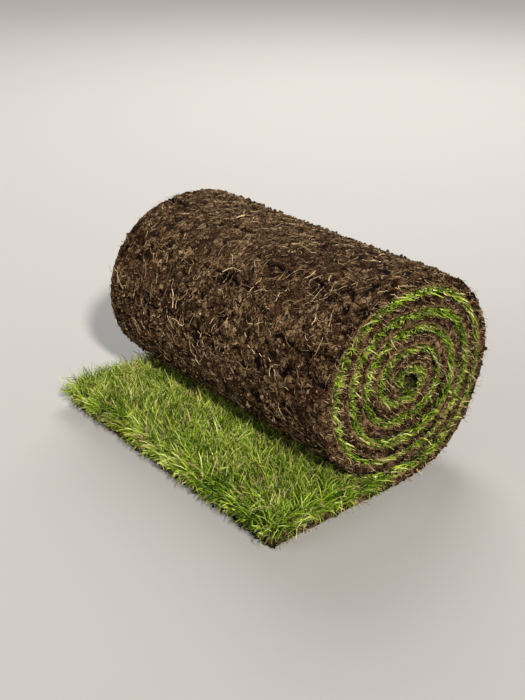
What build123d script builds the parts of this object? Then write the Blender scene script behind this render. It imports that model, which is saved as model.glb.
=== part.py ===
from build123d import *
import math
import os

# A roll of turf: one strip of grass sod, rolled up grass side in and lying on its side.
# Millimetres. X runs along the roll, the strip's free end lies forward (-Y) on the floor and Z is up.
# The origin is on the floor, under the middle of the roll and its free end.

# The strip, as it is cut from the field
STRIP_LENGTH = 2500
STRIP_WIDTH = 400
MAT_THICKNESS = 15  # soil and roots
GRASS_PRESSED = 7  # the grass between two turns
GRASS_HEIGHT = 26  # the grass where it stands free

# How it is rolled
TIGHTEST_BEND = 3  # least radius of the grass in the eye of the roll
SAG_WIDTH = 20  # flat run at the top and the bottom of each turn of the soft roll
FREE_END = 180  # the part of the strip that lies out on the floor

# Its edges
GRASS_SETBACK = 4  # how far the solid mass of the grass lies in from the edges of the mat
EDGE_WEAR = 2.5  # crumbled edge of the mat

# Cracks along the roll, where the soil has parted round the outermost turn
CRACKS_A_HALF_TURN = 10
CRACK_WIDTH = 3.5
CRACK_DEPTH = 4
CRACK_LENGTHS = (150, 90, 230, 120)  # taken in turn
CRACK_MIDDLES = (-0.32, 0.22, -0.05, 0.355, -0.17)  # taken in turn, as shares of the strip's width
CUT_CLEARANCE = 1  # how far outside the soil face the cut for a crack begins

# Each half turn is an arc, and its radius is half a pitch more than the one inside it.
# Behind the middle (+Y) the arcs share one centre, and in front of it (-Y) another, half a pitch higher,
# so that every arc runs straight into the next over the flat at the top or the bottom.
PITCH = MAT_THICKNESS + GRASS_PRESSED
STEP = PITCH / 2


def first_radius(half_turns):
    """Radius of the grass in the eye, if the strip's length is used up in this many half turns."""
    wound = STRIP_LENGTH - FREE_END - half_turns * SAG_WIDTH
    mean = wound / (half_turns * math.pi) - GRASS_PRESSED - MAT_THICKNESS / 2
    return mean - STEP * (half_turns - 1) / 2


half_turns = 2
while first_radius(half_turns + 1) >= TIGHTEST_BEND:
    half_turns += 1
eye_radius = first_radius(half_turns)
outer_radius = eye_radius + PITCH + STEP * (half_turns - 1)

# The middle of the depth, from the back of the roll to its front or to the free end, is at Y = 0
front_reach = max(outer_radius - STEP, FREE_END)
back_y = (SAG_WIDTH + front_reach - outer_radius) / 2
front_y = back_y - SAG_WIDTH
free_y = front_y - FREE_END


def centre(turn):
    """Centre of a half turn, counted from 0 for the outermost, which is behind."""
    return (front_y, outer_radius + STEP) if turn % 2 else (back_y, outer_radius)


def half_arc(turn, depth):
    """The strip's line on one half turn, at this depth under the soil face."""
    radius = outer_radius - turn * STEP - depth
    return CenterArc(centre(turn), radius, 90 if turn % 2 else -90, 180)


def winding(depth):
    """The strip's whole line at this depth, from the free end in to the eye."""
    previous = (free_y, depth)
    for turn in range(half_turns):
        arc = half_arc(turn, depth)
        Line(previous, arc @ 0)
        previous = arc @ 1
    return previous


def outline_of_roll(depth):
    """Closed line round the outermost turn at this depth, without the free end."""
    behind = half_arc(0, depth)
    before = half_arc(1, depth)
    Line(behind @ 1, before @ 0)
    Polyline(before @ 1, (front_y, depth), behind @ 0)


def outline_of_eye():
    """Closed line round the grass-lined hollow, with a step where the strip starts."""
    second = half_arc(half_turns - 2, PITCH)
    first = half_arc(half_turns - 1, PITCH)
    Line(second @ 1, first @ 0)
    start_y = (first @ 1).X
    Polyline(first @ 1, (start_y, (second @ 0).Y), second @ 0)


def outline_of_crack(turn, bearing):
    """Closed V across the soil face of a half turn, at this bearing from the half turn's centre."""
    middle = Vector(*centre(turn))
    face = outer_radius - turn * STEP
    rim = face + CUT_CLEARANCE
    tip = face - CRACK_DEPTH
    spread = math.degrees(CRACK_WIDTH / 2 / face) * (rim - tip) / CRACK_DEPTH
    corners = [(rim, bearing - spread), (tip, bearing), (rim, bearing + spread)]
    Polyline([middle + Vector(radius, 0).rotate(Axis.Z, angle) for radius, angle in corners], close=True)


def across(width, middle=0):
    """Section plane at the near end of a stretch of this width, about this place on the roll."""
    return Plane.YZ.offset(middle - width / 2)


with BuildPart() as turf_roll:
    # The mat of soil and roots, one spiral from end to end
    with BuildSketch(across(STRIP_WIDTH)) as mat_section:
        with BuildLine():
            soil_start = winding(0)
            grass_start = winding(MAT_THICKNESS)
            Line(soil_start, grass_start)
            Line((free_y, 0), (free_y, MAT_THICKNESS))
        make_face()
    extrude(amount=STRIP_WIDTH)

    # Its edges crumble at both ends of the roll and at the free end
    mat_ends = turf_roll.faces().filter_by(Axis.X)
    free_face = turf_roll.faces().filter_by(Axis.Y).sort_by(Axis.Y)[0]
    chamfer(mat_ends.edges() + free_face.edges().filter_by(Axis.X), EDGE_WEAR)

    # The grass, pressed between the turns and standing free on the end of the strip.
    # Its outline runs inside the mat, so that the two are one body.
    grass_width = STRIP_WIDTH - 2 * GRASS_SETBACK
    with BuildSketch(across(grass_width)) as grass_section:
        with BuildLine():
            outline_of_roll(MAT_THICKNESS / 2)
        make_face()
        sward_length = FREE_END - GRASS_SETBACK
        sward_rise = MAT_THICKNESS / 2 + GRASS_HEIGHT
        with Locations((free_y + GRASS_SETBACK, MAT_THICKNESS / 2)):
            Rectangle(sward_length, sward_rise, align=(Align.MIN, Align.MIN))
        with BuildLine():
            outline_of_eye()
        make_face(mode=Mode.SUBTRACT)
    extrude(amount=grass_width)

    # The cracks, each over a part of the strip's width
    for number in range(2 * CRACKS_A_HALF_TURN):
        turn, place = divmod(number, CRACKS_A_HALF_TURN)
        bearing = 180 * (turn - 0.5 + (place + 0.5) / CRACKS_A_HALF_TURN)
        length = CRACK_LENGTHS[number % len(CRACK_LENGTHS)]
        middle = STRIP_WIDTH * CRACK_MIDDLES[number % len(CRACK_MIDDLES)]
        with BuildSketch(across(length, middle)) as crack_section:
            with BuildLine():
                outline_of_crack(turn, bearing)
            make_face()
        extrude(amount=length, mode=Mode.SUBTRACT)

turf_roll.part.label = "turf_roll"

os.makedirs("parts", exist_ok=True)
export_step(turf_roll.part, "parts/turf_roll.step")
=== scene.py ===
"""A roll of turf: a wound mat of soil and roots, its grass pressed in the roll and free on its end."""
import math

import bpy
import numpy as np
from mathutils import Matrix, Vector, noise


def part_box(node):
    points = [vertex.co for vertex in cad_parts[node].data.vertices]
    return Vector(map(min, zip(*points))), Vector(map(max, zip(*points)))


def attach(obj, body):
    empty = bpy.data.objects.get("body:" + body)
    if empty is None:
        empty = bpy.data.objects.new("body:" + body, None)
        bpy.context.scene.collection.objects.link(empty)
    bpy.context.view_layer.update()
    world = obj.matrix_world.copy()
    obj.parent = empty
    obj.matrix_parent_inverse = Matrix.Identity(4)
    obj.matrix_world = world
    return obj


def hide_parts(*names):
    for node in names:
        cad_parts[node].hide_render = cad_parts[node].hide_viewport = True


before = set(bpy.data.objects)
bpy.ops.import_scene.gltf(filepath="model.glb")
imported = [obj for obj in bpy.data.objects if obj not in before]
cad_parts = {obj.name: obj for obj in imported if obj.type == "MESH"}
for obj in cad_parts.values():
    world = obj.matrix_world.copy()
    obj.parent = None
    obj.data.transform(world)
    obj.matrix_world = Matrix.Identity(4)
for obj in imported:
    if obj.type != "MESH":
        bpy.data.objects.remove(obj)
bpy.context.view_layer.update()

MM = 0.001

# The strip as it was cut, in metres
MAT = 15 * MM  # soil and roots
PRESSED = 7 * MM  # the grass between two turns
SAG = 20 * MM  # flat run at the top and the bottom of each turn
HALF_TURNS = 10
STEP = (MAT + PRESSED) / 2  # how much less radius each half turn has than the one round it

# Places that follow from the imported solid
low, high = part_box("turf_roll")
HALF_WIDTH = high.x
OUTER = high.z / 2
BACK_Y = high.y - OUTER
FRONT_Y = BACK_Y - SAG
FREE_Y = low.y

# Cracks in the soil side of the outermost turn, where the solid has them
CRACKS_A_HALF_TURN = 10
CRACK_DEPTH = 5 * MM
CRACK_LENGTHS = (0.150, 0.090, 0.230, 0.120)
CRACK_MIDDLES = (-0.32, 0.22, -0.05, 0.355, -0.17)  # shares of the strip's width

SEED = 7
rng = np.random.default_rng(SEED)
noise.seed_set(SEED)


def wound_line():
    """The middle of the mat: distance from the free end, Y, Z, and the angle that its soil side faces."""
    y, z, angle = [FREE_Y], [MAT / 2], [-math.pi / 2]
    for turn in range(HALF_TURNS):
        centre = (FRONT_Y, OUTER + STEP) if turn % 2 else (BACK_Y, OUTER)
        radius = OUTER - turn * STEP - MAT / 2
        start = math.pi * (turn - 0.5)
        flat_end = centre[0] + radius * math.cos(start), centre[1] + radius * math.sin(start)
        steps = math.ceil(math.dist((y[-1], z[-1]), flat_end) / MM)
        y += list(np.linspace(y[-1], flat_end[0], steps + 1)[1:])
        z += [flat_end[1]] * steps
        angle += [start] * steps
        turned = start + np.linspace(0, math.pi, math.ceil(math.pi * radius / MM) + 1)[1:]
        y += list(centre[0] + radius * np.cos(turned))
        z += list(centre[1] + radius * np.sin(turned))
        angle += list(turned)
    y, z, angle = np.array(y), np.array(z), np.array(angle)
    along = np.concatenate([[0], np.cumsum(np.hypot(np.diff(y), np.diff(z)))])
    return along, y, z, angle


ALONG, LINE_Y, LINE_Z, LINE_ANGLE = wound_line()
LENGTH = ALONG[-1]
JOINT = FRONT_Y - FREE_Y  # where the roll lies on the strip's free end
LIFT = BACK_Y - FREE_Y  # where the strip leaves the floor
OUTER_TURN = float(np.interp(1.5 * math.pi, LINE_ANGLE, ALONG))  # where the outermost turn is closed
INNER_TURN = float(np.interp(LINE_ANGLE[-1] - 2 * math.pi, LINE_ANGLE, ALONG))  # where the eye's turn is


def crack_list():
    """Each crack's place along the strip, and where it starts and ends across it."""
    cracks = []
    for number in range(2 * CRACKS_A_HALF_TURN):
        bearing = math.pi * ((number + 0.5) / CRACKS_A_HALF_TURN - 0.5)
        along = float(np.interp(bearing, LINE_ANGLE, ALONG))
        middle = 2 * HALF_WIDTH * CRACK_MIDDLES[number % len(CRACK_MIDDLES)]
        half = CRACK_LENGTHS[number % len(CRACK_LENGTHS)] / 2
        cracks.append((along, middle - half, middle + half))
    return cracks


CRACKS = crack_list()


def smooth_step(value, start, end):
    """0 below start and 1 above end, smoothly."""
    t = np.clip((value - start) / (end - start), 0, 1)
    return t * t * (3 - 2 * t)


def uneven(along, x):
    """How far a soft roll's mat stands out from the plain spiral, at most 2 mm."""
    waves = np.sin(along * 17 + x * 9 + 1) + np.sin(along * 41 - x * 23 + 2) + np.sin(along * 29 + x * 37)
    return 0.65 * MM * waves * smooth_step(along, LIFT + 10 * MM, LIFT + 110 * MM)


def drift(along):
    """How far the strip has run sideways in the rolling."""
    return 1.5 * MM * (np.sin(along * 5.1 + 0.5) + np.sin(along * 12.7)) * smooth_step(along, 0, 300 * MM)


def place(along, x, depth):
    """World places of points on the strip, depth being measured in from its soil side."""
    along, x, depth = np.broadcast_arrays(along, x, depth)
    angle = np.interp(along, ALONG, LINE_ANGLE)
    out = MAT / 2 - depth + uneven(along, x)
    y = np.interp(along, ALONG, LINE_Y) + np.cos(angle) * out
    z = np.interp(along, ALONG, LINE_Z) + np.sin(angle) * out
    return np.stack([x + drift(along), y, z], -1)


def underside(y):
    """How high the roll's front is over the free end of the strip."""
    radius = OUTER - STEP
    reach = np.clip((y - FRONT_Y) / radius, -1, 0)
    return np.where(y < FRONT_Y - radius, 1.0, OUTER + STEP - radius * np.sqrt(1 - reach**2))


# Meshes

def mesh_object(name, places, faces, material):
    """A piece of the roll with these corners and faces."""
    mesh = bpy.data.meshes.new(name)
    mesh.from_pydata(places.reshape(-1, 3).tolist(), [], faces)
    mesh.polygons.foreach_set("use_smooth", [True] * len(mesh.polygons))
    mesh.materials.append(material)
    mesh.update()
    piece = bpy.data.objects.new(name, mesh)
    bpy.context.scene.collection.objects.link(piece)
    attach(piece, "root")
    return piece


def store(piece, name, values):
    """Keeps three numbers at each corner of a piece, for its material to read."""
    layer = piece.data.attributes.new(name, "FLOAT_VECTOR", "POINT")
    layer.data.foreach_set("vector", np.ascontiguousarray(values, np.float32).ravel())


def keep_map(piece, corners):
    """Gives a piece the flat map named OFBake for its colours: a place for each corner of each face."""
    layer = piece.data.uv_layers.new(name="OFBake")
    layer.data.foreach_set("uv", np.ascontiguousarray(corners, np.float32).ravel())


def shares(rooms):
    """Where each thing starts in a row from 0 to 1, if each takes this much room."""
    rooms = np.array(rooms)
    return (np.cumsum(rooms) - rooms) / sum(rooms)


def map_of_rings(faces, round_ring, from_start):
    """A map with one row for each ring. The last two faces, which close the ends, lie in a corner."""
    end_middle, end_radius = 0.005, 0.004
    first_row, all_rows = 0.012, 0.986
    corners = []
    for number, face in enumerate(faces):
        u, v = round_ring[list(face)], from_start[list(face)]
        if number >= len(faces) - 2:
            angle = 2 * math.pi * u
            u = end_middle + end_radius * np.cos(angle)
            v = end_middle + end_radius * np.sin(angle)
        else:
            u = np.where(u < max(u) - 0.5, u + 1, u)
            v = first_row + all_rows * v
        corners.append(np.stack([u, v], -1))
    return np.concatenate(corners)


def map_of_many(count, shape):
    """A map with a square for each of many like things, each holding the same shape."""
    margin = 0.08
    side = math.ceil(math.sqrt(count))
    row, column = np.divmod(np.arange(count), side)
    square = np.stack([column, row], -1).reshape((count,) + (1,) * (shape.ndim - 1) + (2,))
    return (square + margin + (1 - 2 * margin) * shape) / side


def sideways(spine, roll):
    """A direction across each spine, turned about it by roll."""
    run = np.gradient(spine, axis=1)
    run /= np.linalg.norm(run, axis=2, keepdims=True) + 1e-9
    guide = np.stack([np.cos(roll), np.sin(roll), 0.35 * np.sin(2.3 * roll)], -1)[:, None]
    across = np.cross(run, np.broadcast_to(guide, run.shape))
    return across / (np.linalg.norm(across, axis=2, keepdims=True) + 1e-9)


def ribbons(name, spine, width, roll, looks, material):
    """Flat blades along spines, an array of blade, point and place. looks holds tint, dryness and painted
    shade.
    """
    count, points = spine.shape[:2]
    across = sideways(spine, roll) * width[..., None] / 2
    places = np.stack([spine - across, spine + across], 2)
    first = (np.arange(count)[:, None] * points + np.arange(points - 1)) * 2
    faces = np.stack([first, first + 1, first + 3, first + 2], -1).reshape(-1, 4)
    piece = mesh_object(name, places, faces.tolist(), material)
    strip = np.stack(np.meshgrid([0, 1], np.linspace(0, 1, points)), -1)
    keep_map(piece, map_of_many(count, strip).reshape(-1, 2)[faces])
    height = np.broadcast_to(np.linspace(0, 1, points)[None, :, None], (count, points, 2))
    tint, straw, shade = (np.broadcast_to(looks[:, i, None, None], height.shape) for i in range(3))
    store(piece, "blade", np.stack([tint, height, straw], -1))
    store(piece, "shade", np.stack([shade, shade, shade], -1))


# Materials

LOAM_TONES = (
    (0.24, (34, 22, 13)),
    (0.40, (76, 55, 37)),
    (0.53, (105, 81, 56)),
    (0.66, (142, 117, 87)),
    (0.84, (194, 170, 136)),
)
THATCH_TONES = ((0.36, (50, 38, 20)), (0.5, (118, 96, 56)), (0.66, (176, 154, 102)))
GREEN_TONES = (
    (0.0, (32, 62, 4)),
    (0.28, (72, 112, 7)),
    (0.55, (130, 168, 22)),
    (0.8, (186, 208, 66)),
    (1.0, (222, 232, 142)),
)
DRY_TONES = ((0.0, (132, 106, 62)), (0.5, (192, 168, 112)), (1.0, (228, 212, 162)))
# The sward's dead leaves and stems; its darkest stops are painted shade between the blades.
SWARD_AND_SHADE_TONES = ((0.36, (10, 12, 4)), (0.5, (30, 34, 10)), (0.62, (76, 78, 30)), (0.72, (132, 122, 70)))
ROOT_TONES = ((0.2, (88, 66, 44)), (0.5, (142, 116, 82)), (0.8, (198, 176, 136)))


def new_material(name):
    """A material with only its output and its main shader."""
    material = bpy.data.materials.new(name)
    material.use_nodes = True
    tree = material.node_tree
    tree.nodes.clear()
    output = tree.nodes.new("ShaderNodeOutputMaterial")
    shader = tree.nodes.new("ShaderNodeBsdfPrincipled")
    tree.links.new(shader.outputs[0], output.inputs["Surface"])
    return material, tree, shader


def screen(red, green, blue):
    """A colour as it looks on a screen, each part from 0 to 255, made linear for the renderer."""
    parts = [c / 255 for c in (red, green, blue)]
    return tuple(c / 12.92 if c < 0.04 else ((c + 0.055) / 1.055) ** 2.4 for c in parts) + (1,)


def stored(tree, name):
    """The three numbers that store keeps, apart."""
    source = tree.nodes.new("ShaderNodeAttribute")
    source.attribute_name = name
    parts = tree.nodes.new("ShaderNodeSeparateXYZ")
    tree.links.new(source.outputs["Vector"], parts.inputs[0])
    return parts.outputs


def connect(tree, socket, value):
    """Gives a socket a number, a colour or another socket's output."""
    if isinstance(value, bpy.types.NodeSocket):
        tree.links.new(value, socket)
    else:
        socket.default_value = value


def spots(tree, vector, scale, detail=2.0, rough=0.5):
    """Noise at a scale given in spots to the metre."""
    node = tree.nodes.new("ShaderNodeTexNoise")
    tree.links.new(vector, node.inputs["Vector"])
    node.inputs["Scale"].default_value = scale
    node.inputs["Detail"].default_value = detail
    node.inputs["Roughness"].default_value = rough
    return node.outputs["Fac"]


def granules(tree, vector, scale):
    """Distance to the middle and to the border of each granule, and its own random colour.

    The scale is given in granules to the metre.
    """
    middle = tree.nodes.new("ShaderNodeTexVoronoi")
    border = tree.nodes.new("ShaderNodeTexVoronoi")
    border.feature = "DISTANCE_TO_EDGE"
    for node in (middle, border):
        tree.links.new(vector, node.inputs["Vector"])
        node.inputs["Scale"].default_value = scale
    return middle.outputs["Distance"], border.outputs["Distance"], middle.outputs["Color"]


def ramp(tree, source, stops):
    """A colour ramp through stops, each a place and a colour as it looks on a screen."""
    node = tree.nodes.new("ShaderNodeValToRGB")
    tree.links.new(source, node.inputs[0])
    elements = node.color_ramp.elements
    while len(elements) < len(stops):
        elements.new(0.5)
    for element, (at, colour) in zip(elements, stops):
        element.position = at
        element.color = screen(*colour)
    return node.outputs[0]


def rise(tree, source, start, end, least=0.0, most=1.0):
    """From least below start to most above end, smoothly."""
    node = tree.nodes.new("ShaderNodeMapRange")
    node.interpolation_type = "SMOOTHSTEP"
    tree.links.new(source, node.inputs["Value"])
    for name, value in (("From Min", start), ("From Max", end), ("To Min", least), ("To Max", most)):
        node.inputs[name].default_value = value
    return node.outputs[0]


def mix(tree, share, first, second, how="MIX"):
    """Two colours mixed, where the share and each colour may be a value or a socket."""
    node = tree.nodes.new("ShaderNodeMix")
    node.data_type = "RGBA"
    node.blend_type = how
    for index, value in ((0, share), (6, first), (7, second)):
        connect(tree, node.inputs[index], value)
    return node.outputs[2]


def darkened(tree, share, colour, by):
    """A colour as it is where share is 1, and multiplied by another where it is 0."""
    return mix(tree, share, mix(tree, 1.0, colour, by, "MULTIPLY"), colour)


def calculate(tree, operation, first, second):
    """A sum on two numbers or sockets."""
    node = tree.nodes.new("ShaderNodeMath")
    node.operation = operation
    for socket, value in zip(node.inputs, (first, second)):
        connect(tree, socket, value)
    return node.outputs[0]


def bump(tree, height, shader, distance, strength=1.0):
    """Relief from a height socket, in metres at full height."""
    node = tree.nodes.new("ShaderNodeBump")
    node.inputs["Distance"].default_value = distance
    node.inputs["Strength"].default_value = strength
    tree.links.new(height, node.inputs["Height"])
    tree.links.new(node.outputs[0], shader.inputs["Normal"])


def set_surface(tree, shader, colour, roughness, specular):
    """Gives the main shader its colour, from a socket, and its shine."""
    tree.links.new(colour, shader.inputs["Base Color"])
    shader.inputs["Roughness"].default_value = roughness
    shader.inputs["Specular IOR Level"].default_value = specular


def warped(tree, vector, scale, reach):
    """The same places, pushed about by noise of this scale and reach."""
    warp = tree.nodes.new("ShaderNodeTexNoise")
    tree.links.new(vector, warp.inputs["Vector"])
    warp.inputs["Scale"].default_value = scale
    warp.inputs["Detail"].default_value = 3
    moved = tree.nodes.new("ShaderNodeVectorMath")
    moved.operation = "MULTIPLY_ADD"
    tree.links.new(warp.outputs["Color"], moved.inputs[0])
    moved.inputs[1].default_value = (reach, reach, reach)
    tree.links.new(vector, moved.inputs[2])
    return moved.outputs[0]


def soil_material():
    """Crumbly brown loam with painted shade between its granules and in its cracks, and a fibrous top layer.
    """
    material, tree, shader = new_material("loam")
    open_here, depth, tone = stored(tree, "soil")
    here = tree.nodes.new("ShaderNodeTexCoord").outputs["Object"]
    moved = warped(tree, here, 240, 11 * MM)
    middle, border, own_colour = granules(tree, moved, 150)
    fine_middle, fine_border, _ = granules(tree, moved, 360)
    grain = spots(tree, here, 520, 4, 0.65)
    patches = spots(tree, here, 11, 2, 0.5)

    own_tone = calculate(tree, "MULTIPLY", own_colour, 0.45)
    mixed = calculate(tree, "ADD", own_tone, calculate(tree, "MULTIPLY", grain, 0.55))
    # The tone shifts the ramp: at random for crumbs, and down to painted shade in the cracks.
    tone_shift = calculate(tree, "MULTIPLY", calculate(tree, "SUBTRACT", tone, 0.5), 0.6)
    mixed = calculate(tree, "ADD", mixed, tone_shift)
    loam = ramp(tree, mixed, LOAM_TONES)
    loam = mix(tree, rise(tree, patches, 0.42, 0.62, 0.0, 0.45), loam, screen(166, 140, 122), "MULTIPLY")
    # Painted shade between the granules, at two scales.
    gap_shade = rise(tree, border, 0.0, 0.16)
    fine_gap_shade = rise(tree, fine_border, 0.0, 0.14)
    loam = darkened(tree, gap_shade, loam, screen(68, 52, 38))
    loam = darkened(tree, fine_gap_shade, loam, screen(128, 108, 88))
    # Painted shade in the hollows and cracks of the crumbled face.
    hollow_shade = rise(tree, open_here, 0.05, 0.6)
    loam = darkened(tree, hollow_shade, loam, screen(68, 52, 40))
    thatch = ramp(tree, spots(tree, here, 620, 3, 0.6), THATCH_TONES)
    colour = mix(tree, rise(tree, depth, 0.7, 0.98), loam, thatch)
    set_surface(tree, shader, colour, 0.95, 0.05)
    relief = calculate(tree, "SUBTRACT", calculate(tree, "MULTIPLY", grain, 0.5), middle)
    relief = calculate(tree, "SUBTRACT", relief, calculate(tree, "MULTIPLY", fine_middle, 0.45))
    bump(tree, relief, shader, 3 * MM)
    return material


def grass_material():
    """Blades from pale stems to yellow green, some deeper, some dry, with light coming through them and
    painted shade on some blades and at each blade's foot.
    """
    material, tree, shader = new_material("grass_blades")
    tint, along, straw = stored(tree, "blade")
    green = ramp(tree, tint, GREEN_TONES)
    green = mix(tree, rise(tree, along, 0.0, 0.3), screen(118, 122, 44), green)
    green = mix(tree, rise(tree, along, 0.88, 1.0), green, screen(198, 188, 112))
    colour = mix(tree, straw, green, ramp(tree, tint, DRY_TONES))
    # Painted shade: each blade darkened by its own share, in patches over the ground.
    shade = stored(tree, "shade")[0]
    colour = darkened(tree, shade, colour, screen(66, 76, 44))
    # Painted shade at the foot of each blade, where its neighbours shade it.
    colour = darkened(tree, rise(tree, along, 0.0, 0.5), colour, screen(74, 80, 46))
    set_surface(tree, shader, colour, 0.55, 0.15)
    through = tree.nodes.new("ShaderNodeBsdfTranslucent")
    tree.links.new(colour, through.inputs["Color"])
    both = tree.nodes.new("ShaderNodeMixShader")
    both.inputs[0].default_value = 0.25
    tree.links.new(shader.outputs[0], both.inputs[1])
    tree.links.new(through.outputs[0], both.inputs[2])
    tree.links.new(both.outputs[0], tree.get_output_node("ALL").inputs["Surface"])
    return material


def sward_and_shade_material():
    """The dense foot of the grass: dead leaves and stems, near black between the blades with painted shade.
    """
    material, tree, shader = new_material("sward_foot_and_shade")
    here = tree.nodes.new("ShaderNodeTexCoord").outputs["Object"]
    fibres = spots(tree, here, 460, 4, 0.6)
    set_surface(tree, shader, ramp(tree, fibres, SWARD_AND_SHADE_TONES), 0.9, 0.2)
    bump(tree, fibres, shader, 2 * MM)
    return material


def root_material():
    """Pale brown root fibre."""
    material, tree, shader = new_material("root_fibre")
    tint = stored(tree, "blade")[0]
    here = tree.nodes.new("ShaderNodeTexCoord").outputs["Object"]
    mottle = calculate(tree, "MULTIPLY", calculate(tree, "ADD", tint, spots(tree, here, 260)), 0.5)
    set_surface(tree, shader, ramp(tree, mottle, ROOT_TONES), 0.8, 0.25)
    return material


LOAM = soil_material()
GRASS = grass_material()
SWARD_AND_SHADE = sward_and_shade_material()
ROOT = root_material()


# The mat of soil

CORNER = 3 * MM  # how round its crumbled edges are
SPACING = 2.5 * MM  # between the corners of the mesh where it shows
NEAR_ENDS = 13 * MM  # how far in from the ends the inner turns can be seen
SPARSE_STEP = 18  # of this many corners, one is kept where the mat is hidden
CAP_INSETS = np.array([7.3, 6, 4.5, 3, 1.8, 0.8, 0.2]) * MM  # rings that close an end, from its middle out


def rim_of_mat():
    """One closed ring round the strip's section: x, depth, and the outward direction in both."""
    reach = HALF_WIDTH - CORNER
    flat = np.linspace(-reach, reach, 2 * round(reach / SPACING) + 1)
    bevel = np.radians([22.5, 45, 67.5])
    sides = np.linspace(CORNER, MAT - CORNER, 5)
    soil_corner = []
    for sine, cosine in zip(np.sin(bevel), np.cos(bevel)):
        soil_corner.append((reach + CORNER * sine, CORNER * (1 - cosine), sine, -cosine))
    side = [(HALF_WIDTH, depth, 1, 0) for depth in sides]
    grass_corner = [(x, MAT - depth, out_x, -out_depth) for x, depth, out_x, out_depth in soil_corner[::-1]]
    right = soil_corner + side + grass_corner
    left = [(-x, depth, -out_x, out_depth) for x, depth, out_x, out_depth in reversed(right)]
    soil_face = [(x, 0, 0, -1) for x in flat]
    grass_face = [(x, MAT, 0, 1) for x in flat[::-1]]
    return np.array(soil_face + right + grass_face + left)


RIM = rim_of_mat()
FULL_RING = np.arange(len(RIM))
MIDDLE = abs(RIM[:, 0]) < HALF_WIDTH - NEAR_ENDS
SPARSE = np.arange(len(RIM)) % SPARSE_STEP == 0
SHOWING_RING = np.flatnonzero((RIM[:, 3] <= 0) | ~MIDDLE | SPARSE)  # fine on the soil side
HIDDEN_RING = np.flatnonzero(~MIDDLE | SPARSE)  # fine only near the ends
HIDDEN_ROOM = 0.4  # how much of the soil's map a ring of an inner turn takes, next to an outer one's 1


def border_gap(spot):
    """0 on the borders of a pattern of cells, more inside them."""
    nearest = noise.voronoi(spot)[0]
    return nearest[1] - nearest[0]


def crumble(along, x, spot):
    """How far the soil lies in from its plain face, and how open it is there, from 0 in a crack to 1, which
    the loam shows as painted shade where it is low.
    """
    wave = noise.noise(spot * 24)
    lumps = noise.noise(spot * 85)
    nearest = noise.voronoi(spot * 95 + 0.35 * noise.noise_vector(spot * 70))[0]
    dome = 1 - min(nearest[0] / 0.75, 1) ** 2
    bent = Vector((along * 34 + 0.5 * noise.noise(spot * 60), x * 9 + 0.6 * noise.noise(spot * 40), 0.5))
    torn = max(0, noise.noise(Vector((along * 9, x * 7, 4))) + 0.35)
    split = (1 - min(border_gap(bent) / 0.085, 1)) * min(torn * 2, 1)
    sunk = 1.0 + 0.5 * wave - 0.55 * lumps + 1.5 * (1 - dome) + 2.6 * split
    return max(sunk, 0) * MM, max(0, 0.25 + 0.75 * dome - 0.9 * split + 0.15 * lumps)


def crack_depth(along, x):
    """How deep the cracks are at these spots of one ring."""
    depth = np.zeros(len(x))
    for middle, start, end in CRACKS:
        if abs(along - middle) < 4 * MM:
            inside = np.minimum(x - start, end - x)
            open_share = smooth_step(inside, 0, 20 * MM) * (0.8 + 0.2 * np.sin(x * 170) * np.sin(x * 61))
            half_width = (0.6 + 1.7 * open_share) * MM
            depth += CRACK_DEPTH * open_share * np.clip(1 - abs(along - middle) / half_width, 0, 1) ** 0.7
    return depth


def wander_of_crack(number, x):
    """How far a crack runs out of its straight line."""
    return 2.6 * MM * (np.sin(x * 53 + number) + 0.6 * np.sin(x * 131 + 2 * number) + 0.35 * np.sin(x * 307))


def crooked(along, x):
    """How far the line of a nearby crack wanders along the strip."""
    shift = np.zeros(len(x))
    for number, (middle, _, _) in enumerate(CRACKS):
        near = 1 - min(abs(along - middle) / (12 * MM), 1)
        if near > 0:
            shift += near * wander_of_crack(number, x)
    return shift


def eaten(along, side):
    """How much of the strip's long edges has crumbled away."""
    coarse = noise.noise(Vector((along * 45, side * 3, 1)))
    fine = noise.noise(Vector((along * 120, side * 3, 6)))
    return max(0, 0.6 + 1.5 * coarse + 0.9 * fine) * MM


def ring_of_mat(along, kept, inset=0.0):
    """One ring of the mat's mesh: its places and what its material reads. An inset ring closes an end."""
    x, depth, out_x, out_depth = RIM[kept].T
    middle_x = np.clip(x, -HALF_WIDTH + MAT / 2, HALF_WIDTH - MAT / 2)
    share = inset / (MAT / 2)
    x = x + (middle_x - x) * share
    depth = depth + (MAT / 2 - depth) * share
    plain = place(along, x, depth)
    sunk, open_here = np.array([crumble(along, at_x, Vector(p)) for at_x, p in zip(x, plain)]).T
    sunk = sunk + abs(out_x) * np.where(x < 0, eaten(along, -1), eaten(along, 1))
    facing = 1 - share
    x = x - out_x * sunk * facing
    depth = depth - out_depth * sunk * facing * np.where(out_depth > 0, 0.4, 1)
    back = sunk * min(inset / CORNER, 1)
    turned_in = back if along < LENGTH / 2 else -back
    split = crack_depth(along, x) * (out_depth < 0)
    split_share = np.minimum(split / CRACK_DEPTH, 1)
    # In a crack the openness and the tone fall to 0, which the loam shows as painted shade.
    open_here = open_here * (1 - split_share)
    tone = 0.5 - 0.5 * split_share
    facts = np.stack([open_here, depth / MAT, tone], -1)
    return place(along + turned_in + crooked(along, x), x, depth + split), facts


def rounded(inset):
    """How far an end's face lies back at this inset, round its edge."""
    return CORNER - math.sqrt(max(0, CORNER**2 - max(0, CORNER - inset) ** 2))


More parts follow.
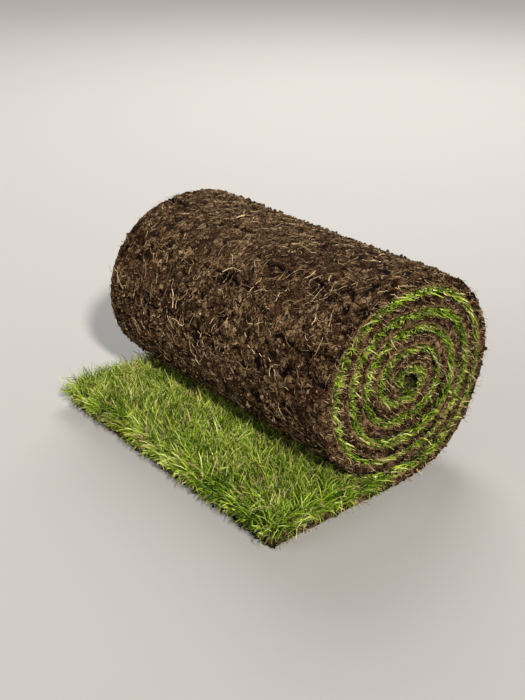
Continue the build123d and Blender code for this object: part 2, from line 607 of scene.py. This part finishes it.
def faces_between(one, two, from_spots, to_spots):
    """Faces between two rings, where one of them may leave out spots of the other."""
    if len(from_spots) == len(to_spots):
        after = np.roll(np.arange(len(one)), -1)
        return [(one[i], two[i], two[k], one[k]) for i, k in enumerate(after)]
    many, few = (from_spots, to_spots) if len(from_spots) > len(to_spots) else (to_spots, from_spots)
    index = {spot: i for i, spot in enumerate(many)}
    faces = []
    for i, spot in enumerate(few):
        after = few[(i + 1) % len(few)]
        start, end = index[spot], index[after]
        if end < start:
            end += len(many)
        between = [k % len(many) for k in range(start, end + 1)]
        following = (i + 1) % len(few)
        if many is from_spots:
            faces.append(tuple([two[following]] + [one[k] for k in reversed(between)] + [two[i]]))
        else:
            faces.append(tuple([one[i]] + [two[k] for k in between] + [one[following]]))
    return faces


def evenly(start, end, spacing):
    """Stations from start up to end."""
    return np.linspace(start, end, max(2, round((end - start) / spacing) + 1))


def stations_with_cracks():
    """Stations of the outermost turn, with four close together at each crack."""
    stations = []
    start = LIFT
    for middle, _, _ in CRACKS:
        stations += list(evenly(start, middle - 2 * MM, 1.12 * SPACING))
        stations += [middle - 0.6 * MM, middle + 0.6 * MM]
        start = middle + 2 * MM
    return stations + list(evenly(start, OUTER_TURN + 12 * MM, 1.12 * SPACING))


def make_mat():
    """The strip of soil, from the free end's face to the start in the eye, fine only where it shows."""
    stations = [(rounded(inset), FULL_RING, inset) for inset in CAP_INSETS]
    stations += [(s, FULL_RING, 0) for s in evenly(CORNER, 15 * MM, SPACING)]
    stations += [(s, HIDDEN_RING, 0) for s in evenly(18 * MM, LIFT - 4 * MM, 1.2 * SPACING)]
    stations += [(s, SHOWING_RING, 0) for s in stations_with_cracks()]
    stations += [(s, HIDDEN_RING, 0) for s in evenly(OUTER_TURN + 15 * MM, LENGTH - CORNER, 1.3 * SPACING)]
    stations += [(LENGTH - rounded(inset), HIDDEN_RING, inset) for inset in CAP_INSETS[::-1]]
    places, facts, rings = [], [], []
    total = 0
    for s, kept, inset in stations:
        ring, fact = ring_of_mat(s, kept, inset)
        places.append(ring)
        facts.append(fact)
        rings.append(range(total, total + len(ring)))
        total += len(ring)
    faces = []
    for k in range(len(stations) - 1):
        faces += faces_between(rings[k], rings[k + 1], stations[k][1], stations[k + 1][1])
    faces.append(tuple(rings[0]))
    faces.append(tuple(rings[-1])[::-1])
    piece = mesh_object("turf_mat", np.concatenate(places), faces, LOAM)
    store(piece, "soil", np.concatenate(facts))
    spot_shares = shares(np.where(RIM[:, 3] == 1, 0.1, 1))
    round_ring = np.concatenate([spot_shares[kept] for _, kept, _ in stations])
    ring_shares = shares([HIDDEN_ROOM if kept is HIDDEN_RING else 1 for _, kept, _ in stations])
    from_start = np.repeat(ring_shares, [len(ring) for ring in rings])
    keep_map(piece, map_of_rings(faces, round_ring, from_start))
    return piece


mat = make_mat()
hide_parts("turf_roll")


# Loose crumbs of soil and roots on the mat

FACE_CRUMBS = 5200
EDGE_CRUMBS = 2400
ROOTS = 2600
ROOT_HAIRS = 3000
LEAST_HEIGHT = 0.2 * MM  # nothing lies lower over the floor


def icosahedron():
    """Corners and faces of a ball of twenty triangles."""
    g = (1 + math.sqrt(5)) / 2
    corners = [(-1, g, 0), (1, g, 0), (-1, -g, 0), (1, -g, 0), (0, -1, g), (0, 1, g), (0, -1, -g), (0, 1, -g)]
    corners += [(g, 0, -1), (g, 0, 1), (-g, 0, -1), (-g, 0, 1)]
    faces = [(0, 11, 5), (0, 5, 1), (0, 1, 7), (0, 7, 10), (0, 10, 11), (1, 5, 9), (5, 11, 4), (11, 10, 2)]
    faces += [(10, 7, 6), (7, 1, 8), (3, 9, 4), (3, 4, 2), (3, 2, 6), (3, 6, 8), (3, 8, 9), (4, 9, 5)]
    faces += [(2, 4, 11), (6, 2, 10), (8, 6, 7), (9, 8, 1)]
    return np.array(corners) / math.hypot(1, g), np.array(faces)


def sunken_place(along, x, depth, out_x, out_depth, lift):
    """Places on the crumbled surface of the mat, raised by lift, for spots on its plain one."""
    plain = place(along, x, depth)
    sunk = np.array([crumble(s, at_x, Vector(p))[0] for s, at_x, p in zip(along, x, plain)])
    sunk = sunk + abs(out_x) * np.array([eaten(s, side) for s, side in zip(along, np.sign(x))])
    rise_by = lift - sunk
    return place(along, x + out_x * rise_by, depth + out_depth * rise_by)


def crumbs(name, centre, radius, tone):
    """Rough little lumps."""
    corners, faces = icosahedron()
    count = len(centre)
    rough = rng.uniform(0.72, 1.25, (count, 12, 1))
    squash = rng.uniform(0.65, 1.2, (count, 1, 3))
    angle = rng.uniform(0, 2 * math.pi, (count, 2))
    shape = corners * rough * squash * radius[:, None, None]
    for first, second, turn in ((0, 1, angle[:, 0]), (1, 2, angle[:, 1])):
        a, b = shape[..., first].copy(), shape[..., second].copy()
        cosine, sine = np.cos(turn)[:, None], np.sin(turn)[:, None]
        shape[..., first] = a * cosine - b * sine
        shape[..., second] = a * sine + b * cosine
    places = centre[:, None] + shape
    places[..., 2] = np.maximum(places[..., 2], LEAST_HEIGHT)
    all_faces = (np.arange(count)[:, None, None] * 12 + faces).reshape(-1, 3)
    piece = mesh_object(name, places, all_faces.tolist(), LOAM)
    sheet = np.stack(np.meshgrid(range(5), range(4)), -1).reshape(20, 1, 2)
    triangle = np.array([[0.1, 0.1], [0.9, 0.1], [0.1, 0.9]])
    keep_map(piece, map_of_many(count, (sheet + triangle) / (5, 4)))
    open_here = np.ones((count, 12))
    store(piece, "soil", np.stack([open_here, 0.2 * open_here, open_here * tone[:, None]], -1))


def clear_of_cracks(along, x, room):
    """The same spots, moved out of the cracks and this much clear of their middles."""
    for number, (middle, start, end) in enumerate(CRACKS):
        line = middle + wander_of_crack(number, x)
        inside = (abs(along - line) < room) & (x > start) & (x < end)
        along = np.where(inside, line + np.where(along < line, -1, 1) * room, along)
    return along


def scatter_crumbs(face_count, edge_count):
    """Crumbs on the soil side of the outermost turn and on the cut edges."""
    along = rng.uniform(LIFT + 12 * MM, OUTER_TURN - 14 * MM, face_count)
    x = rng.uniform(-HALF_WIDTH + 2 * MM, HALF_WIDTH - 2 * MM, face_count)
    radius = np.clip(rng.lognormal(0.25, 0.42, face_count), 0.6, 3.4) * MM
    along = clear_of_cracks(along, x, 1.6 * MM + radius)
    zero = np.zeros(face_count)
    centre = sunken_place(along, x, zero, zero, zero - 1, 0.25 * radius)
    tone = np.clip(rng.normal(0.5, 0.16, face_count), 0, 1)
    tone = np.where(rng.random(face_count) < 0.03, 1.0, tone)
    crumbs("soil_crumbs", centre, radius, tone)

    along = rng.uniform(0, LENGTH - 4 * MM, edge_count)
    side = rng.choice([-1, 1], edge_count)
    depth = rng.uniform(1.5, 13, edge_count) * MM
    radius = np.clip(rng.lognormal(0.1, 0.4, edge_count), 0.5, 2.4) * MM
    zero = np.zeros(edge_count)
    centre = sunken_place(along, side * HALF_WIDTH, depth, side, zero, 0.1 * radius)
    front = rng.random(edge_count) < 0.1
    front_x = rng.uniform(-HALF_WIDTH, HALF_WIDTH, edge_count)
    centre = np.where(front[:, None], place(zero + 0.3 * MM, front_x, depth), centre)
    tone = np.clip(rng.normal(0.45, 0.16, edge_count), 0, 1)
    crumbs("edge_crumbs", centre, radius, tone)


scatter_crumbs(FACE_CRUMBS, EDGE_CRUMBS)


def root_looks(count):
    """Tint for each root, in the place of a blade's tint, dryness and shade."""
    return np.stack([rng.random(count), np.zeros(count), np.ones(count)], -1)


def root_net(count):
    """Roots that lie on the soil side of the outermost turn."""
    points = 6
    along = rng.uniform(LIFT + 20 * MM, OUTER_TURN - 20 * MM, count)
    x = rng.uniform(-HALF_WIDTH + 4 * MM, HALF_WIDTH - 4 * MM, count)
    heading = rng.uniform(0, 2 * math.pi, count)[:, None]
    heading = heading + np.cumsum(rng.normal(0, 0.5, (count, points)), 1)
    step = (rng.uniform(8, 38, count) / (points - 1))[:, None] * MM
    along = along[:, None] + np.cumsum(np.cos(heading) * step, 1)
    x = np.clip(x[:, None] + np.cumsum(np.sin(heading) * step, 1), -HALF_WIDTH, HALF_WIDTH)
    lift = rng.uniform(-0.3, 0.5, (count, points)) * MM
    zero = np.zeros(count * points)
    spine = sunken_place(along.ravel(), x.ravel(), zero, zero, zero - 1, lift.ravel())
    looks = root_looks(count)
    width = np.broadcast_to(rng.gamma(4, 0.11, count).clip(0.2, 0.9)[:, None] * MM, (count, points))
    spine = spine.reshape(count, points, 3)
    ribbons("root_net", spine, width, rng.uniform(0, 6.3, count), looks, ROOT)


def root_hairs(count):
    """Roots that stand out of the cut edges of the mat."""
    points = 4
    along = rng.uniform(2 * MM, LENGTH - 5 * MM, count)
    side = rng.choice([-1, 1], count)
    depth = rng.uniform(1, 14, count) * MM
    length = rng.uniform(2, 9, count)[:, None] * MM
    u = np.linspace(0, 1, points)
    wander = np.cumsum(rng.normal(0, 0.35, (count, points, 2)), 1) * length[..., None] * 0.5
    x = side[:, None] * (HALF_WIDTH - 3 * MM + length * u)
    spine = place(along[:, None] + wander[..., 0], x, np.clip(depth[:, None] + wander[..., 1], 0, 21 * MM))
    spine[..., 2] = np.maximum(spine[..., 2], 0.5 * MM)
    looks = root_looks(count)
    width = np.broadcast_to(rng.uniform(0.3, 0.6, count)[:, None] * MM, (count, points))
    ribbons("root_hairs", spine, width, rng.uniform(0, 6.3, count), looks, ROOT)


root_net(ROOTS)
root_hairs(ROOT_HAIRS)


# The grass

OVER_EDGE = 13 * MM  # how far grass may stand out past the ends
EDGE_BAND = 14 * MM  # how far in from the edges the free grass leans out
TUFT_SHARE = 0.65  # of the free blades
STEEPEST_DROOP = math.radians(128)
TALL_BLADES = 22000
LOW_BLADES = 10000
END_BLADES = 4600  # at each end of the roll


def patch(places, scale, seed):
    """Slow variation over the ground, about -1 to 1."""
    return np.array([noise.noise(Vector(p) * scale + Vector((0, 0, seed))) for p in places])


def blade_looks(roots, dry_share, light=0.0):
    """Tint, dryness and painted shade for each blade. Light raises the tint as painted light."""
    count = len(roots)
    tint = 0.52 + 0.3 * patch(roots, 30, 0) + 0.25 * patch(roots, 95, 3) + rng.normal(0, 0.26, count) + light
    dry = rng.random(count) < dry_share * (1 + 1.6 * patch(roots, 26, 5) + patch(roots, 80, 8))
    # Painted shade, in patches and from blade to blade.
    shade = np.clip(0.72 + 0.5 * patch(roots, 110, 6) + rng.normal(0, 0.25, count), 0, 1)
    return np.stack([np.clip(tint, 0, 1), dry.astype(float), shade], -1)


def taper(width, points, tip):
    """Widths along blades that narrow to a mown tip."""
    up = np.linspace(0, 1, points)
    return width[:, None] * (0.75 + up * (1 - up)) * (1 - (1 - tip) * up**2.5)


def free_grass(name, count, length, width, dry_share, lean, points=5):
    """Grass that stands on the free end of the strip, held down under the roll. Lean is in degrees."""
    along = rng.uniform(1 * MM, JOINT - 26 * MM, count)
    x = rng.uniform(-HALF_WIDTH + 1.5 * MM, HALF_WIDTH - 1.5 * MM, count)
    root = place(along, x, MAT - 1 * MM)
    tuft = rng.random(count) < TUFT_SHARE
    tuft_way = 3.6 * math.pi * patch(root, 42, 11) + rng.normal(0, 0.55, count)
    way = np.where(tuft, tuft_way, rng.uniform(0, 2 * math.pi, count))
    first = np.radians(rng.uniform(2, lean, count))
    bend = np.radians(rng.gamma(2.2, 17, count))
    length = length * (1 + 0.22 * patch(root, 55, 14))
    to_side = np.clip((abs(x) - HALF_WIDTH + EDGE_BAND) / EDGE_BAND, 0, 1)
    to_front = np.clip((EDGE_BAND - along) / EDGE_BAND, 0, 1)
    outward = np.arctan2(-to_front, np.sign(x) * to_side)
    pulled = rng.random(count) < 0.75 * np.maximum(to_side, to_front)
    way = np.where(pulled, outward + rng.normal(0, 0.6, count), way)
    first = first + pulled * np.radians(rng.uniform(5, 35, count))
    bend = bend + pulled * np.radians(rng.uniform(0, 45, count))
    up = np.linspace(0, 1, points - 1)
    tilt = np.minimum(first[:, None] + bend[:, None] * up**1.3, STEEPEST_DROOP)
    way = way[:, None] + rng.normal(0, 0.5, count)[:, None] * up
    run = np.stack([np.sin(tilt) * np.cos(way), np.sin(tilt) * np.sin(way), np.cos(tilt)], -1)
    step = (length / (points - 1))[:, None, None]
    spine = root[:, None] + np.concatenate([np.zeros((count, 1, 3)), np.cumsum(run * step, 1)], 1)
    limit = HALF_WIDTH + OVER_EDGE
    spine[..., 0] = np.clip(spine[..., 0], -limit, limit)
    spine[..., 1] = np.maximum(spine[..., 1], FREE_Y - OVER_EDGE)
    roof = underside(spine[..., 1]) - rng.uniform(0.5, 2.5, count)[:, None] * MM
    spine[..., 2] = np.clip(np.minimum(spine[..., 2], roof), 1 * MM, None)
    looks = blade_looks(root, dry_share)
    ribbons(name, spine, taper(width, points, 0.35), rng.uniform(0, 6.3, count), looks, GRASS)


def pressed_grass(name, side, count, dry_share, points=5):
    """Grass pressed between the turns at one end of the roll, its tips pushed out past the soil."""
    along = JOINT - 30 * MM + (LENGTH - JOINT + 28 * MM) * rng.random(count)
    inset = rng.uniform(2, 13, count) * MM
    past_edge = np.clip(rng.gamma(1.3, 0.75, count), 0.1, 4.5)
    long_ones = rng.random(count) < 0.02
    past_edge = np.where(long_ones, rng.uniform(3, 8, count), past_edge) * MM
    slanting = (rng.random(count) > 0.6) & ~long_ones
    way = np.where(slanting, rng.choice([-1, 1], count) * 1.05, rng.normal(0, 0.5, count))
    length = (inset + past_edge) / np.cos(np.clip(way, -1.1, 1.1))
    room = rng.uniform(0.3, 8.2, count) * MM
    room = np.where(along > INNER_TURN, rng.uniform(2, 12, count) * MM, room)
    room = np.where(along < JOINT + 6 * MM, rng.uniform(1, 12, count) * MM, room)
    u = np.linspace(0, 1, points)
    heading = way[:, None] + rng.normal(0, 0.5, count)[:, None] * u
    step = (length / (points - 1))[:, None]
    out = np.concatenate([np.zeros((count, 1)), np.cumsum(np.cos(heading[:, 1:]) * step, 1)], 1)
    aside = np.concatenate([np.zeros((count, 1)), np.cumsum(np.sin(heading[:, 1:]) * step, 1)], 1)
    x = HALF_WIDTH - inset[:, None] + out
    past = np.clip(x - HALF_WIDTH, 0, None)
    splay = rng.normal(0, 0.4, count)[:, None]
    depth = MAT - 0.3 * MM + room[:, None] * (1 - np.exp(-5 * u)) + splay * past
    s = np.clip(along[:, None] + aside, 0, LENGTH)
    spine = place(s, side * np.minimum(x, HALF_WIDTH + OVER_EDGE), depth)
    spine[..., 2] -= 18 * past**2 * rng.uniform(0.3, 1.8, count)[:, None]
    spine[..., 2] = np.maximum(spine[..., 2], 1 * MM)
    # The blades at the ends get a lighter tint, painted light for the shade that the ends lie in.
    looks = blade_looks(spine[:, 0], dry_share, 0.05)
    width = rng.uniform(0.9, 1.9, count) * MM
    ribbons(name, spine, taper(width, points, 0.4), rng.uniform(0, 6.3, count), looks, GRASS)


def sward_foot_and_shade():
    """The dense foot of the grass, a band between the turns that thickens where the grass is free."""
    stations = evenly(3 * MM, LENGTH, 6 * MM)
    near = np.linspace(0, 15, 6) * MM
    reach = HALF_WIDTH - 9 * MM
    inner = np.linspace(-reach + 30 * MM, reach - 30 * MM, 9)
    columns = np.concatenate([-reach + near, inner, reach - near[::-1]])
    places = []
    for s in stations:
        thick = PRESSED + 1.8 * MM
        if s < JOINT:
            y = float(np.interp(s, ALONG, LINE_Y))
            thick = min(float(underside(np.array(y))) - MAT, 6 * MM)
        rough = np.array([0.8 * MM * noise.noise(Vector((s * 160, x * 160, 2))) for x in columns])
        ragged = 1.5 * MM * noise.noise(Vector((s * 90, 1, 7)))
        x = columns + np.where(abs(columns) > reach - 2 * MM, np.sign(columns) * ragged, 0)
        top = place(s, x, MAT + thick - 1 * MM + rough)
        bottom = place(s, x[::-1], MAT - 2 * MM)
        places.append(np.concatenate([top, bottom]))
    ring = 2 * len(columns)
    faces = [
        (i * ring + k, (i + 1) * ring + k, (i + 1) * ring + (k + 1) % ring, i * ring + (k + 1) % ring)
        for i in range(len(stations) - 1)
        for k in range(ring)
    ]
    faces.append(tuple(range(ring)))
    faces.append(tuple(range((len(stations) - 1) * ring, len(stations) * ring))[::-1])
    piece = mesh_object("sward_foot_and_shade", np.array(places), faces, SWARD_AND_SHADE)
    row, spot = np.divmod(np.arange(len(stations) * ring), ring)
    keep_map(piece, map_of_rings(faces, spot / ring, row / len(stations)))


sward_foot_and_shade()
tall_length = rng.normal(30, 5, TALL_BLADES).clip(16, 42) * MM
tall_width = rng.uniform(0.8, 1.7, TALL_BLADES) * MM
free_grass("grass_free_end", TALL_BLADES, tall_length, tall_width, dry_share=0.1, lean=34)
low_length = rng.uniform(10, 24, LOW_BLADES) * MM
low_width = rng.uniform(0.8, 1.6, LOW_BLADES) * MM
free_grass("grass_free_end_low", LOW_BLADES, low_length, low_width, dry_share=0.3, lean=60)
for side, end in ((-1, "left"), (1, "right")):
    pressed_grass(f"grass_{end}_end", side, END_BLADES, dry_share=0.16)


# Studio

CENTRE = (0, 0, 0.1)  # of the roll, where the lights point
FLOOR_REACH = 6.0
SUN_STRENGTH = 5.8
SUN_SOFTNESS = 5  # in degrees, as are the azimuths and elevations
SUN_AZIMUTH = 70
SUN_ELEVATION = 36
LAMP_DISTANCE = 3.6
SKY_STRENGTH = 0.2
CAMERA_AZIMUTH = 50
CAMERA_ELEVATION = 26
CAMERA_DISTANCE = 1.16
CAMERA_LENS = 50
LOOK_AT = (0.005, -0.012, 0.108)


def make_floor():
    """A plain pale floor."""
    mesh = bpy.data.meshes.new("floor")
    reach = FLOOR_REACH
    corners = [(-reach, -reach, 0), (reach, -reach, 0), (reach, reach, 0), (-reach, reach, 0)]
    mesh.from_pydata(corners, [], [(0, 1, 2, 3)])
    material, _, shader = new_material("floor_paint")
    shader.inputs["Base Color"].default_value = screen(150, 149, 147)
    shader.inputs["Roughness"].default_value = 0.8
    mesh.materials.append(material)
    floor = bpy.data.objects.new("floor", mesh)
    bpy.context.scene.collection.objects.link(floor)


def add_aimed(name, data, azimuth, elevation, distance, target):
    """A camera or a light that points at the target. Azimuth 0 is in front, and more is to the right."""
    a, e = math.radians(azimuth), math.radians(elevation)
    way = Vector((math.sin(a) * math.cos(e), -math.cos(a) * math.cos(e), math.sin(e)))
    thing = bpy.data.objects.new(name, data)
    thing.location = Vector(target) + distance * way
    thing.rotation_euler = (Vector(target) - thing.location).to_track_quat("-Z", "Y").to_euler()
    bpy.context.scene.collection.objects.link(thing)
    return thing


def add_lamp(name, azimuth, elevation, size, power, colour):
    """A square soft light that points at the roll."""
    data = bpy.data.lights.new(name, "AREA")
    data.size = size
    data.energy = power
    data.color = colour
    add_aimed(name, data, azimuth, elevation, LAMP_DISTANCE, CENTRE)


make_floor()
sun = bpy.data.lights.new("key", "SUN")
sun.energy = SUN_STRENGTH
sun.angle = math.radians(SUN_SOFTNESS)
sun.color = (1.0, 0.95, 0.87)
add_aimed("key", sun, SUN_AZIMUTH, SUN_ELEVATION, LAMP_DISTANCE, CENTRE)
add_lamp("fill", azimuth=-15, elevation=26, size=2.2, power=60, colour=(1.0, 0.99, 0.97))
add_lamp("back", azimuth=-140, elevation=45, size=1.8, power=120, colour=(1.0, 0.98, 0.95))

world = bpy.data.worlds.new("studio")
bpy.context.scene.world = world
world.use_nodes = True
background = world.node_tree.nodes["Background"]
background.inputs["Color"].default_value = (0.95, 0.97, 1.0, 1)
background.inputs["Strength"].default_value = SKY_STRENGTH
bpy.context.scene.view_settings.view_transform = "Standard"

lens = bpy.data.cameras.new("camera")
lens.lens = CAMERA_LENS
camera = add_aimed("camera", lens, CAMERA_AZIMUTH, CAMERA_ELEVATION, CAMERA_DISTANCE, LOOK_AT)
bpy.context.scene.camera = camera
